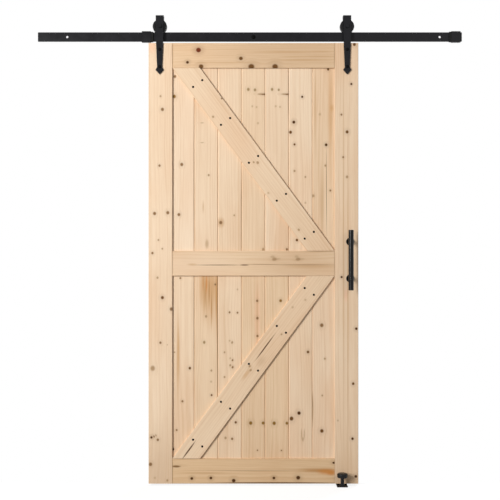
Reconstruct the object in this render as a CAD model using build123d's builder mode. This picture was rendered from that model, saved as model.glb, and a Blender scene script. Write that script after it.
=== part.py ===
from build123d import *
from math import asin, atan2, cos, degrees, hypot, sin
import os

# Sliding barn door: a framed, boarded and braced softwood slab that hangs from a
# flat-bar track on two strap hangers with grooved wheels, with two track stops, a
# pull handle and a floor guide.
# Millimetres, +Z up. The room is on the -Y side and the wall is the plane Y = 0.
# The origin is on the wall, at the middle hole of the track.
# A size that ends in _out is a distance from the wall towards the room.

os.makedirs("parts", exist_ok=True)

# Track and the spacers that hold it off the wall
track_height = 45.0
track_thickness = 6.0
track_left_end = 142.0
track_right_end = 107.5
track_corner_radius = 2.5
track_hole_diameter = 11.0
track_hole_inset = 2.0
track_hole_count = 5
spacer_length = 35.0
spacer_diameter = 25.0
spacer_count = 3
spacer_edge = 1.0

# Grooved wheel, axle bolt and bent strap of each hanger
hanger_inset = 54.0
wheel_flange_radius = 34.5
wheel_groove_radius = 27.0
wheel_width = 26.0
wheel_groove_width = 8.0
wheel_groove_flare = 1.5
wheel_recess_depth = 3.0
wheel_hub_radius = 14.0
wheel_rim_wall = 4.0
wheel_edge_round = 1.2
rolling_gap = 0.3
axle_diameter = 10.0
running_clearance = 0.08
axle_collar_length = 2.0
axle_collar_radius = 9.0
axle_side_gap = 0.3
axle_head_across = 17.0
axle_head_height = 6.4
axle_nut_height = 8.0
strap_thickness = 5.0
strap_width = 38.5
strap_shoulder_width = 34.5
strap_neck_width = 24.5
strap_arrow_width = 40.0
strap_headroom = 14.3
strap_bend_radius = 4.0
strap_neck_drop = 118.0
strap_barb_drop = 131.0
strap_tip_drop = 153.0
strap_back_drop = 18.5
strap_back_corner = 16.0
strap_bolt_diameter = 8.0
strap_bolt_drops = (31.5, 115.0)
bolt_clearance = 0.3

# Door slab: stiles, rails, boards and braces
door_width = 1016.0
door_height = 2134.0
door_thickness = 35.0
door_drop = 9.0
stile_width = 115.0
rail_width = 121.0
frame_groove_depth = 11.0
frame_edge = 1.5
rail_tongue_length = 10.0
board_count = 7
board_thickness = 15.0
board_entry = 8.0
board_fit = 0.2
board_v_cut = 3.5
board_tongue_length = 6.0
board_tongue_thickness = 4.0
brace_width = 108.0
brace_thickness = 10.0
brace_gap = 0.5
brace_edge = 0.8
screw_pitch = 228.0
screw_pair_spacing = 55.0
screw_pair_count = 5
screw_hole_diameter = 5.0
screw_sink_diameter = 9.0

# Pull handle
handle_inset = 40.0
handle_lift = 16.0
handle_bar_diameter = 25.0
handle_bar_length = 290.0
handle_bar_edge = 1.5
handle_standoff = 50.0
handle_post_inset = 56.0
handle_post_diameter = 16.0
handle_rose_diameter = 38.5
handle_rose_thickness = 5.0
handle_rose_edge = 1.2
handle_fit = 0.1

# Stops clamped on the track
stop_width = 44.0
stop_wheel_reach = 43.0
stop_end_margin = 8.0
stop_wall = 3.7
stop_front_wall = 8.5
stop_back_lip = 5.5
stop_lip_reach = 12.0
stop_track_fit = 0.3
stop_edge = 1.5
stop_screw_diameter = 6.0
stop_screw_pitch = 22.0
bumper_thickness = 10.0
bumper_inset = 2.0

# Floor guide under the right end of the door
guide_inset = 80.0
guide_floor_gap = 9.0
guide_plate_width = 52.0
guide_plate_thickness = 3.5
guide_plate_front_margin = 1.5
guide_plate_corner = 5.0
guide_lip_height = 45.0
guide_lip_corner = 10.0
guide_bend_radius = 3.0
guide_clearance = 5.0
guide_roller_diameter = 50.0
guide_roller_height = 20.5
guide_roller_lift = 36.5
guide_roller_round = 6.0
guide_roller_roof = 5.0
guide_post_diameter = 17.0
guide_pin_diameter = 10.0
guide_screw_diameter = 5.5
guide_screw_sink = 10.0
guide_screw_pitch = 20.0

# Places that follow from the sizes above
hanger_offset = door_width / 2 - hanger_inset
track_hole_pitch = hanger_offset - track_hole_inset
track_end_hole = (track_hole_count - 1) / 2 * track_hole_pitch
track_left_reach = track_end_hole + track_left_end
track_right_reach = track_end_hole + track_right_end
handle_offset = door_width / 2 - handle_inset
handle_post_spacing = handle_bar_length - 2 * handle_post_inset
guide_offset = door_width / 2 - guide_inset
stop_left_offset = -hanger_offset - stop_wheel_reach - stop_width / 2
stop_right_offset = track_right_reach - stop_end_margin - stop_width / 2

track_back_out = spacer_length
track_front_out = track_back_out + track_thickness
track_mid_out = track_back_out + track_thickness / 2
strap_gap = wheel_width + 2 * axle_collar_length
strap_front_in_out = track_mid_out + strap_gap / 2
strap_front_out = strap_front_in_out + strap_thickness
strap_back_in_out = track_mid_out - strap_gap / 2
strap_back_out = strap_back_in_out - strap_thickness
axle_z = track_height / 2 + rolling_gap + wheel_groove_radius
strap_top_in_z = axle_z + wheel_flange_radius + strap_headroom
strap_top_z = strap_top_in_z + strap_thickness

door_front_out = strap_front_in_out
door_back_out = door_front_out - door_thickness
door_mid_out = (door_front_out + door_back_out) / 2
door_top_z = -track_height / 2 - door_drop
door_bottom_z = door_top_z - door_height
opening_width = door_width - 2 * stile_width
opening_height = (door_height - 3 * rail_width) / 2
groove_width = board_thickness + 2 * board_fit
board_pitch = (opening_width + 2 * board_entry) / board_count
board_length = opening_height + 2 * board_entry
board_left = -opening_width / 2 - board_entry
board_front_out = door_mid_out + board_thickness / 2
upper_opening_bottom = door_top_z - rail_width - opening_height
lower_opening_bottom = door_bottom_z + rail_width

stop_slot_half = track_height / 2 + stop_track_fit
stop_top = stop_slot_half + stop_wall
stop_slot_back_out = track_back_out - stop_track_fit
stop_slot_front_out = track_front_out + stop_track_fit
stop_back_out = stop_slot_back_out - stop_back_lip
stop_front_out = stop_slot_front_out + stop_front_wall

floor_z = door_bottom_z - guide_floor_gap
guide_plate_top = floor_z + guide_plate_thickness
guide_lip_front_out = door_back_out - guide_clearance
guide_lip_back_out = guide_lip_front_out - guide_plate_thickness
guide_axis_out = door_front_out + guide_clearance + guide_roller_diameter / 2
guide_front_out = guide_axis_out + guide_post_diameter / 2 + guide_plate_front_margin
guide_roller_z = door_bottom_z + guide_roller_lift

handle_bar_out = door_front_out + handle_standoff
handle_z = door_top_z - door_height / 2 + handle_lift


def facing_room(x, out, z):
    """A plane that looks into the room, with its x axis along +X and its y axis up."""
    return Plane(origin=(x, -out, z), x_dir=(1, 0, 0), z_dir=(0, -1, 0))


# Track: a flat bar with five bolt holes on its centre line
with BuildPart() as track:
    with BuildSketch(facing_room(0, track_back_out, 0)):
        with Locations(((track_right_reach - track_left_reach) / 2, 0)):
            RectangleRounded(track_left_reach + track_right_reach, track_height, track_corner_radius)
        with GridLocations(track_hole_pitch, 0, track_hole_count, 1):
            Circle(track_hole_diameter / 2, mode=Mode.SUBTRACT)
    extrude(amount=track_thickness)
track.part.label = "track"
export_step(track.part, "parts/track.step")

# Spacers: turned sleeves between the wall and the track at the three inner holes
for number, name in enumerate(("left", "middle", "right")):
    spacer_x = (number - (spacer_count - 1) / 2) * track_hole_pitch
    with BuildPart() as spacer:
        with BuildSketch(facing_room(spacer_x, 0, 0)):
            Circle(spacer_diameter / 2)
            Circle(track_hole_diameter / 2, mode=Mode.SUBTRACT)
        extrude(amount=spacer_length)
        chamfer(spacer.edges().filter_by(GeomType.CIRCLE).group_by(SortBy.RADIUS)[-1], spacer_edge)
    spacer.part.label = f"wall_spacer_{name}"
    export_step(spacer.part, f"parts/wall_spacer_{name}.step")

# Stops: C-shaped clamps that hook round the track, each with a rubber pad on the
# side that the wheel comes from
for name, stop_x, wheel_side in (("left", stop_left_offset, 1), ("right", stop_right_offset, -1)):
    with BuildPart() as stop:
        with BuildSketch(Plane.YZ.offset(stop_x - stop_width / 2)) as clamp:
            with Locations((-(stop_back_out + stop_front_out) / 2, 0)):
                Rectangle(stop_front_out - stop_back_out, 2 * stop_top)
            chamfer(clamp.vertices(), stop_edge)
            with Locations((-(stop_slot_back_out + stop_slot_front_out) / 2, 0)):
                Rectangle(stop_slot_front_out - stop_slot_back_out, 2 * stop_slot_half, mode=Mode.SUBTRACT)
            with Locations((-(stop_back_out + stop_slot_back_out) / 2, 0)):
                Rectangle(stop_back_lip, 2 * (stop_slot_half - stop_lip_reach), mode=Mode.SUBTRACT)
        extrude(amount=stop_width)
        with BuildSketch(Plane.XY.offset(-stop_top)):
            with Locations((stop_x, -track_mid_out)):
                with GridLocations(stop_screw_pitch, 0, 2, 1):
                    Circle(stop_screw_diameter / 2)
        extrude(amount=stop_wall, mode=Mode.SUBTRACT)
    stop.part.label = f"stop_{name}"
    export_step(stop.part, f"parts/stop_{name}.step")

    pad_near = stop_x + wheel_side * stop_width / 2
    pad_far = pad_near + wheel_side * bumper_thickness
    with BuildPart() as bumper:
        with BuildSketch(Plane.YZ.offset(min(pad_near, pad_far))) as pad:
            with Locations((-(stop_back_out + stop_front_out) / 2, 0)):
                Rectangle(stop_front_out - stop_back_out - 2 * bumper_inset, 2 * (stop_top - bumper_inset))
            fillet(pad.vertices(), stop_edge)
            with Locations((-(stop_slot_back_out + stop_slot_front_out) / 2, 0)):
                Rectangle(stop_slot_front_out - stop_slot_back_out, 2 * stop_slot_half, mode=Mode.SUBTRACT)
            with Locations((-(stop_back_out + stop_slot_back_out) / 2, 0)):
                Rectangle(stop_back_lip, 2 * (stop_slot_half - stop_lip_reach), mode=Mode.SUBTRACT)
        extrude(amount=bumper_thickness)
    bumper.part.label = f"bumper_{name}"
    export_step(bumper.part, f"parts/bumper_{name}.step")

# Hangers: strap, axle bolt and grooved wheel on each side
for name, side in (("left", -1), ("right", 1)):
    hanger_x = side * hanger_offset
    back_end_z = axle_z - strap_back_drop
    tip_z = door_top_z - strap_tip_drop

    # The strap is bent over the wheel, then cut to its tapered, arrow-ended outline
    with BuildPart() as strap:
        with BuildSketch(Plane.YZ.offset(hanger_x - strap_arrow_width / 2)) as bend:
            with BuildLine():
                Polyline(
                    (-strap_front_out, tip_z),
                    (-strap_front_out, strap_top_z),
                    (-strap_back_out, strap_top_z),
                    (-strap_back_out, back_end_z),
                    (-strap_back_in_out, back_end_z),
                    (-strap_back_in_out, strap_top_in_z),
                    (-strap_front_in_out, strap_top_in_z),
                    (-strap_front_in_out, tip_z),
                    close=True,
                )
            make_face()
            fillet(bend.vertices().group_by(Axis.Y)[-2], strap_bend_radius)
            fillet(bend.vertices().group_by(Axis.Y)[-1], strap_bend_radius + strap_thickness)
        extrude(amount=strap_arrow_width)
        with BuildSketch(facing_room(hanger_x, 0, 0)):
            with BuildLine():
                right_side = Polyline(
                    (0, tip_z),
                    (strap_arrow_width / 2, door_top_z - strap_barb_drop),
                    (strap_neck_width / 2, door_top_z - strap_neck_drop),
                    (strap_shoulder_width / 2, door_top_z),
                    (strap_width / 2, strap_top_z),
                    (0, strap_top_z),
                )
                mirror(right_side, about=Plane.YZ)
            make_face()
        extrude(amount=strap_front_out, mode=Mode.INTERSECT)
        back_corners = strap.edges().filter_by(Axis.Y).filter_by_position(
            Axis.Z, back_end_z - rolling_gap, back_end_z + rolling_gap
        )
        fillet(back_corners, strap_back_corner)
        with Locations(facing_room(hanger_x, strap_front_out, axle_z)):
            Hole(axle_diameter / 2 + running_clearance, depth=strap_front_out)
        with Locations(*[facing_room(hanger_x, strap_front_out, door_top_z - d) for d in strap_bolt_drops]):
            Hole(strap_bolt_diameter / 2 + bolt_clearance, depth=strap_thickness)
    strap.part.label = f"hanger_strap_{name}"
    export_step(strap.part, f"parts/hanger_strap_{name}.step")

    # Axle: hex bolt through both legs, with a nut behind and collars beside the wheel
    axle_back_out = strap_back_out - axle_nut_height
    collar_length = axle_collar_length - axle_side_gap
    with BuildPart() as axle:
        with BuildSketch(facing_room(hanger_x, axle_back_out, axle_z)):
            Circle(axle_diameter / 2)
        extrude(amount=strap_front_out + axle_head_height - axle_back_out)
        with BuildSketch(facing_room(hanger_x, strap_front_out, axle_z)):
            RegularPolygon(axle_head_across / 2, 6, major_radius=False)
        extrude(amount=axle_head_height)
        with BuildSketch(facing_room(hanger_x, axle_back_out, axle_z)):
            RegularPolygon(axle_head_across / 2, 6, major_radius=False)
        extrude(amount=axle_nut_height)
        with BuildSketch(
            facing_room(hanger_x, strap_back_in_out, axle_z),
            facing_room(hanger_x, strap_front_in_out - collar_length, axle_z),
        ):
            Circle(axle_collar_radius)
        extrude(amount=collar_length)
    axle.part.label = f"axle_{name}"
    export_step(axle.part, f"parts/axle_{name}.step")

    # Wheel: a turned rim with a flared groove that rides on the top of the track
    half_width = wheel_width / 2
    half_groove = wheel_groove_width / 2
    bore_radius = axle_diameter / 2 + running_clearance
    rim_radius = wheel_groove_radius - wheel_rim_wall
    recess = half_width - wheel_recess_depth
    with BuildPart() as wheel:
        with BuildSketch(Plane(origin=(hanger_x, -track_mid_out, axle_z))) as section:
            with BuildLine():
                front_half = Polyline(
                    (bore_radius, 0),
                    (bore_radius, half_width),
                    (wheel_hub_radius, half_width),
                    (wheel_hub_radius, recess),
                    (rim_radius, recess),
                    (rim_radius, half_width),
                    (wheel_flange_radius, half_width),
                    (wheel_flange_radius, half_groove + wheel_groove_flare),
                    (wheel_groove_radius, half_groove),
                    (wheel_groove_radius, 0),
                )
                mirror(front_half, about=Plane.XZ)
            make_face()
            fillet(section.vertices().group_by(Axis.X)[-1], wheel_edge_round)
        revolve(axis=Axis((hanger_x, -track_mid_out, axle_z), (0, 1, 0)))
    wheel.part.label = f"wheel_{name}"
    export_step(wheel.part, f"parts/wheel_{name}.step")

# Stiles: grooved on the inner edge over their whole height, drilled for the hangers
for name, side in (("left", -1), ("right", 1)):
    with BuildPart() as stile:
        with BuildSketch(Plane.XY.offset(door_bottom_z)) as section:
            with Locations((side * (door_width - stile_width) / 2, -door_mid_out)):
                Rectangle(stile_width, door_thickness)
            chamfer(section.vertices(), frame_edge)
            with Locations((side * (opening_width + frame_groove_depth) / 2, -door_mid_out)):
                Rectangle(frame_groove_depth, groove_width, mode=Mode.SUBTRACT)
        extrude(amount=door_height)
        hanger_x = side * hanger_offset
        with Locations(*[facing_room(hanger_x, door_front_out, door_top_z - d) for d in strap_bolt_drops]):
            Hole(strap_bolt_diameter / 2 + bolt_clearance, depth=door_thickness)
    stile.part.label = f"stile_{name}"
    export_step(stile.part, f"parts/stile_{name}.step")

# Rails: grooved on each edge that holds boards, with a tongue at both ends that
# sits in the stile grooves
rail_plan = (
    ("rail_top", door_top_z - rail_width, True, False),
    ("rail_middle", lower_opening_bottom + opening_height, True, True),
    ("rail_bottom", door_bottom_z, False, True),
)
for name, rail_z, groove_below, groove_above in rail_plan:
    tongue_low = rail_z + frame_groove_depth * groove_below
    tongue_high = rail_z + rail_width - frame_groove_depth * groove_above
    with BuildPart() as rail:
        with BuildSketch(Plane.YZ.offset(-opening_width / 2)) as section:
            with Locations((-door_mid_out, rail_z + rail_width / 2)):
                Rectangle(door_thickness, rail_width)
            chamfer(section.vertices(), frame_edge)
            if groove_below:
                with Locations((-door_mid_out, rail_z + frame_groove_depth / 2)):
                    Rectangle(groove_width, frame_groove_depth, mode=Mode.SUBTRACT)
            if groove_above:
                with Locations((-door_mid_out, rail_z + rail_width - frame_groove_depth / 2)):
                    Rectangle(groove_width, frame_groove_depth, mode=Mode.SUBTRACT)
        extrude(amount=opening_width)
        with BuildSketch(Plane.YZ.offset(-opening_width / 2 - rail_tongue_length)):
            with Locations((-door_mid_out, (tongue_low + tongue_high) / 2)):
                Rectangle(board_thickness, tongue_high - tongue_low)
        extrude(amount=opening_width + 2 * rail_tongue_length)
    rail.part.label = name
    export_step(rail.part, f"parts/{name}.step")

# Boards: tongued on the right, grooved on the left, with V-cut joints on both faces.
# The outer edges of the first and last board are plain and sit in the stiles.
for panel, panel_bottom in (("upper", upper_opening_bottom), ("lower", lower_opening_bottom)):
    for number in range(1, board_count + 1):
        left_x = board_left + (number - 1) * board_pitch
        right_x = left_x + board_pitch
        with BuildPart() as board:
            with BuildSketch(Plane.XY.offset(panel_bottom - board_entry)) as section:
                with Locations(((left_x + right_x) / 2, -door_mid_out)):
                    Rectangle(board_pitch, board_thickness)
                corners = section.vertices().group_by(Axis.X)
                if number > 1:
                    chamfer(corners[0], board_v_cut)
                    with Locations((left_x + (board_tongue_length + board_fit) / 2, -door_mid_out)):
                        Rectangle(
                            board_tongue_length + board_fit,
                            board_tongue_thickness + 2 * board_fit,
                            mode=Mode.SUBTRACT,
                        )
                if number < board_count:
                    chamfer(corners[-1], board_v_cut)
                    with Locations((right_x + board_tongue_length / 2, -door_mid_out)):
                        Rectangle(board_tongue_length, board_tongue_thickness)
            extrude(amount=board_length)
        board.part.label = f"board_{panel}_{number}"
        export_step(board.part, f"parts/board_{panel}_{number}.step")

# Braces: laid corner to corner on the boards, flush with the frame, with level ends.
# The slope makes both long edges meet a corner of the opening.
brace_reach = opening_width - 2 * brace_gap
brace_rise = opening_height - 2 * brace_gap
brace_slope = atan2(brace_rise, brace_reach) + asin(brace_width / hypot(brace_reach, brace_rise))
brace_level_width = brace_width / sin(brace_slope)
for panel, panel_bottom, fall in (("upper", upper_opening_bottom, 1), ("lower", lower_opening_bottom, -1)):
    brace_z = panel_bottom + opening_height / 2
    with BuildPart() as brace:
        with BuildSketch(facing_room(0, board_front_out, brace_z)):
            with BuildLine():
                Polyline(
                    (-brace_reach / 2, fall * brace_rise / 2),
                    (-brace_reach / 2 + brace_level_width, fall * brace_rise / 2),
                    (brace_reach / 2, -fall * brace_rise / 2),
                    (brace_reach / 2 - brace_level_width, -fall * brace_rise / 2),
                    close=True,
                )
            make_face()
        extrude(amount=brace_thickness)
        chamfer(brace.faces().sort_by(Axis.Y)[0].edges(), brace_edge)
        along_brace = Plane(
            origin=(0, -board_front_out - brace_thickness, brace_z),
            x_dir=(cos(brace_slope), 0, -fall * sin(brace_slope)),
            z_dir=(0, -1, 0),
        )
        with Locations(along_brace):
            with GridLocations(screw_pitch, screw_pair_spacing, screw_pair_count, 2):
                CounterSinkHole(screw_hole_diameter / 2, screw_sink_diameter / 2, depth=brace_thickness)
    brace.part.label = f"brace_{panel}"
    export_step(brace.part, f"parts/brace_{panel}.step")

# Pull handle: a round bar on two stems with round roses against the stile
with BuildPart() as handle_bar:
    with BuildSketch(Plane.XY.offset(handle_z - handle_bar_length / 2)):
        with Locations((handle_offset, -handle_bar_out)):
            Circle(handle_bar_diameter / 2)
    extrude(amount=handle_bar_length)
    chamfer(handle_bar.edges().filter_by(GeomType.CIRCLE), handle_bar_edge)
handle_bar.part.label = "handle_bar"
export_step(handle_bar.part, "parts/handle_bar.step")

for name, side in (("upper", 1), ("lower", -1)):
    post_z = handle_z + side * handle_post_spacing / 2
    with BuildPart() as post:
        with BuildSketch(facing_room(handle_offset, door_front_out, post_z)):
            Circle(handle_rose_diameter / 2)
        extrude(amount=handle_rose_thickness)
        chamfer(post.faces().sort_by(Axis.Y)[0].edges(), handle_rose_edge)
        with BuildSketch(facing_room(handle_offset, door_front_out, post_z)):
            Circle(handle_post_diameter / 2)
        extrude(amount=handle_standoff)
        with BuildSketch(Plane.XY.offset(post_z - handle_post_diameter)):
            with Locations((handle_offset, -handle_bar_out)):
                Circle(handle_bar_diameter / 2 + handle_fit)
        extrude(amount=2 * handle_post_diameter, mode=Mode.SUBTRACT)
    post.part.label = f"handle_post_{name}"
    export_step(post.part, f"parts/handle_post_{name}.step")

# Floor guide: a bent plate that runs under the door and turns up behind it, with a
# roller on a post in front
with BuildPart() as guide_base:
    with BuildSketch(Plane.YZ.offset(guide_offset - guide_plate_width / 2)) as bend:
        with BuildLine():
            Polyline(
                (-guide_front_out, floor_z),
                (-guide_front_out, guide_plate_top),
                (-guide_lip_front_out, guide_plate_top),
                (-guide_lip_front_out, floor_z + guide_lip_height),
                (-guide_lip_back_out, floor_z + guide_lip_height),
                (-guide_lip_back_out, floor_z),
                close=True,
            )
        make_face()
        heel = bend.vertices().group_by(Axis.X)[-1].sort_by(Axis.Y)[:1]
        fillet(heel, guide_bend_radius + guide_plate_thickness)
        inner_heel = bend.vertices().sort_by_distance((-guide_lip_front_out, guide_plate_top))[:1]
        fillet(inner_heel, guide_bend_radius)
    extrude(amount=guide_plate_width)
    fillet(guide_base.edges().filter_by(Axis.Z).group_by(Axis.Y)[0], guide_plate_corner)
    fillet(guide_base.edges().filter_by(Axis.Y).group_by(Axis.Z)[-1], guide_lip_corner)
    with Locations(Plane(origin=(guide_offset, -door_mid_out, guide_plate_top))):
        with GridLocations(0, guide_screw_pitch, 1, 2):
            CounterSinkHole(guide_screw_diameter / 2, guide_screw_sink / 2, depth=guide_plate_thickness)
guide_base.part.label = "guide_base"
export_step(guide_base.part, "parts/guide_base.step")

guide_bore_depth = guide_roller_height - guide_roller_roof
with BuildPart() as guide_post:
    with BuildSketch(Plane.XY.offset(guide_plate_top)):
        with Locations((guide_offset, -guide_axis_out)):
            Circle(guide_post_diameter / 2)
    extrude(amount=guide_roller_z - rolling_gap - guide_plate_top)
    with BuildSketch(Plane.XY.offset(guide_plate_top)):
        with Locations((guide_offset, -guide_axis_out)):
            Circle(guide_pin_diameter / 2)
    extrude(amount=guide_roller_z + guide_bore_depth - rolling_gap - guide_plate_top)
guide_post.part.label = "guide_post"
export_step(guide_post.part, "parts/guide_post.step")

with BuildPart() as guide_roller:
    with BuildSketch(Plane.XY.offset(guide_roller_z)):
        with Locations((guide_offset, -guide_axis_out)):
            Circle(guide_roller_diameter / 2)
    extrude(amount=guide_roller_height)
    fillet(guide_roller.edges().group_by(Axis.Z)[-1], guide_roller_round)
    chamfer(guide_roller.edges().group_by(Axis.Z)[0], handle_bar_edge)
    with BuildSketch(Plane.XY.offset(guide_roller_z)):
        with Locations((guide_offset, -guide_axis_out)):
            Circle(guide_pin_diameter / 2 + running_clearance)
    extrude(amount=guide_bore_depth, mode=Mode.SUBTRACT)
guide_roller.part.label = "guide_roller"
export_step(guide_roller.part, "parts/guide_roller.step")

# Travel of the door from where it hangs to where its wheel nears the right stop
door_travel = stop_right_offset - stop_width / 2 - stop_wheel_reach - hanger_offset
print(f"door travel {door_travel:.1f} mm, rolling radius {wheel_groove_radius:.1f} mm")
print(f"axle z {axle_z:.1f}, door {door_bottom_z:.1f} to {door_top_z:.1f}, floor {floor_z:.1f}")
print(f"handle z {handle_z:.1f}, guide axis {guide_axis_out:.1f} out, brace {degrees(brace_slope):.2f} deg")
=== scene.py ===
# %% [markdown]
# # A sliding barn door
# A boarded pine slab hangs from a flat steel bar on two strap hangers. The solids loaded here
# already hold every size, so this lesson only dresses them. It sets up the photograph's view
# and light, draws the grain and knots of each plank, coats the ironwork, and adds the bolts
# and screws that hold the door together.

from math import cos, pi, radians, sin, tau

import bmesh
import bpy
from mathutils import Matrix, Vector


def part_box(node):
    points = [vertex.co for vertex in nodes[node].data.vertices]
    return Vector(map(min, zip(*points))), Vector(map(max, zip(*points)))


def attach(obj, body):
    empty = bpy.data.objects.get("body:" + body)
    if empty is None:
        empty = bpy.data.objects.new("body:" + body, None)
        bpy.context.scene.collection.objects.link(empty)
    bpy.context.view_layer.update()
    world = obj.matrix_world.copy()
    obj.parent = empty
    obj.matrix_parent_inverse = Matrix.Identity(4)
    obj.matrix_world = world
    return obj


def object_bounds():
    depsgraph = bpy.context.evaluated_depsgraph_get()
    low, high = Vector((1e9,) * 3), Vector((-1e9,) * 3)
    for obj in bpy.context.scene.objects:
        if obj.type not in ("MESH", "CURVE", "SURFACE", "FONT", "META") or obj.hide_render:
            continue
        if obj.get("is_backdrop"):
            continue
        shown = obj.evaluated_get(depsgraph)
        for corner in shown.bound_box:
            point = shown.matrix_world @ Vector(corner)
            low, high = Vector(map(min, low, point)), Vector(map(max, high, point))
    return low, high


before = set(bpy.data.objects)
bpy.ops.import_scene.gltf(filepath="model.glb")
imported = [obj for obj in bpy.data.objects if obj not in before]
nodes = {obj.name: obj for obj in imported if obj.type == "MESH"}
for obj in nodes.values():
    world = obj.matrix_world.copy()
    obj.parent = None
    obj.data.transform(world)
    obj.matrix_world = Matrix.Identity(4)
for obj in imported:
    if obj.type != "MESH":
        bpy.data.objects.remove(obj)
solid_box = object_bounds()
MM = 0.001


def short(values, places=3):
    """Values rounded for a print."""
    return [round(v, places) for v in values]


print(len(nodes), "solids from", short(solid_box[0]), "to", short(solid_box[1]))

# %% [markdown]
# ## The view
# The photograph looks straight at the slab from its middle. The slab is 2134 mm and 440 pixels
# tall, so one pixel shows 4.84 mm of its front. The camera could be fitted by eye, but with that
# scale it follows from two things: the pixel where the middle of the track lies, and the
# distance. A near camera pushes the handle's bar outwards past its stems and shows more of the
# guide's plate. The two ask for unlike distances, and 5 m lies between them.

# %% Camera
PICTURE = 500
PIXEL = 4.842 * MM
TRACK_COLUMN, TRACK_ROW = 253.45, 36.45
VIEW_DISTANCE = 5.0
SENSOR = 36.0


def from_photo(column, row):
    """The place on the slab's front that a pixel of the photograph shows, as x and z."""
    return (column - TRACK_COLUMN) * PIXEL, (TRACK_ROW - row) * PIXEL


slab_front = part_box("rail_top")[0].y
middle_x, middle_z = from_photo(PICTURE / 2, PICTURE / 2)
camera = bpy.data.objects.new("camera", bpy.data.cameras.new("camera"))
camera.data.sensor_width = SENSOR
camera.data.lens = SENSOR * VIEW_DISTANCE / (PICTURE * PIXEL)
camera.location = (middle_x, slab_front - VIEW_DISTANCE, middle_z)
camera.rotation_euler = (pi / 2, 0, 0)
bpy.context.collection.objects.link(camera)
bpy.context.scene.camera = camera
bpy.context.scene.view_settings.view_transform = "Standard"
print("lens", round(camera.data.lens, 1), "mm at", short(camera.location))

# %% [markdown]
# ## Nodes and colours
# Every finish below is built from shader nodes. One small function adds a node, sets its options
# and links or fills its inputs. Colours are written as they look on a screen, in sRGB hex, and a
# second function turns them into the linear values that the sockets hold.

# %% Two helpers for materials


def linear(code):
    """The linear colour of an sRGB hex code."""
    parts = [int(code[start : start + 2], 16) / 255 for start in (1, 3, 5)]
    return [p / 12.92 if p <= 0.04045 else ((p + 0.055) / 1.055) ** 2.4 for p in parts] + [1.0]


def add(tree, kind, inputs=None, **options):
    """A new node. Each input is a socket to link from or a value to set."""
    node = tree.nodes.new(kind if kind.startswith("Node") else "ShaderNode" + kind)
    for option, value in options.items():
        setattr(node, option, value)
    for key, value in (inputs or {}).items():
        if isinstance(value, bpy.types.NodeSocket):
            tree.links.new(value, node.inputs[key])
        else:
            node.inputs[key].default_value = value
    return node


print("straw is", short(linear("#e6c9a5")))

# %% [markdown]
# ## The white room
# The door is shown against pure white. More light could burn the background out, but it would
# burn the pale wood out too. So the world is white only to rays that the eye follows, straight
# or by way of gloss or glass, and lights the wood with a plain share of that white.

# %% World
SKY_SHARE = 0.19


def seen_by_eye(tree):
    """One for the rays that the eye follows, and nought for those that only carry light."""
    ray = add(tree, "LightPath").outputs
    seen = ray["Is Camera Ray"]
    for other in ("Is Glossy Ray", "Is Transmission Ray"):
        seen = add(tree, "Math", {0: seen, 1: ray[other]}, operation="MAXIMUM").outputs[0]
    return seen


world = bpy.data.worlds.new("white_room")
bpy.context.scene.world = world
world.use_nodes = True
room = world.node_tree
room.nodes.clear()
level = add(room, "MapRange", {"Value": seen_by_eye(room), "To Min": SKY_SHARE, "To Max": 1.0}).outputs[0]
sky = add(room, "Background", {"Color": linear("#ffffff"), "Strength": level}).outputs[0]
add(room, "OutputWorld", {"Surface": sky})
print("the sky gives", SKY_SHARE, "of its white as light")

# %% [markdown]
# The floor ends at the wall's plane. A plain white floor would come out grey beside a pure white
# world. To the eye this one glows a little short of white and the lamps add the rest, so it still
# takes the door's shadow.

# %% Floor
FLOOR_HALF_WIDTH, FLOOR_DEPTH, FLOOR_GLOW = 4.0, 5.0, 0.80
floor_z = solid_box[0][2]
floor_corners = ((-FLOOR_HALF_WIDTH, -FLOOR_DEPTH), (FLOOR_HALF_WIDTH, -FLOOR_DEPTH),
                 (FLOOR_HALF_WIDTH, 0), (-FLOOR_HALF_WIDTH, 0))
floor_mesh = bpy.data.meshes.new("floor")
floor_mesh.from_pydata([(x, y, floor_z) for x, y in floor_corners], [], [(0, 1, 2, 3)])
floor = bpy.data.objects.new("floor", floor_mesh)
bpy.context.collection.objects.link(floor)
floor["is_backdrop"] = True

paper = bpy.data.materials.new("matt_white_paper")
paper.use_nodes = True
tree = paper.node_tree
tree.nodes.clear()
glow = add(tree, "Math", {0: seen_by_eye(tree), 1: FLOOR_GLOW}, operation="MULTIPLY").outputs[0]
white = add(tree, "Emission", {"Color": linear("#ffffff"), "Strength": glow}).outputs[0]
matt = add(tree, "BsdfDiffuse", {"Color": linear("#909090")}).outputs[0]
both = add(tree, "AddShader", {0: matt, 1: white}).outputs[0]
add(tree, "OutputMaterial", {"Surface": both})
floor_mesh.materials.append(paper)
print("floor at z", round(floor_z, 4))

# %% [markdown]
# ## The lamps
# The handle's stems throw a soft shadow to the right and a little down, and most of the bar's falls
# past the slab's edge. The bar stands 50 mm off the slab and 40 mm from that edge, so the main light
# stands further round than the angle whose tangent is 40 / 50: 43 degrees to the left, and 15 up.
# It is a tall soft panel: lines under the rails come out softer than lines beside the stiles, and
# the handle's bar takes a thin highlight. At 6 m it makes the left of the slab as much brighter than
# the right as in the photograph. A weak panel on the right opens the shadows, and one behind lights
# the back, which isn't in the photograph.

# %% Main light, fill and back light
SLAB_MIDDLE_HEIGHT = -1.1
slab_middle = Vector((0.0, slab_front, SLAB_MIDDLE_HEIGHT))


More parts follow.
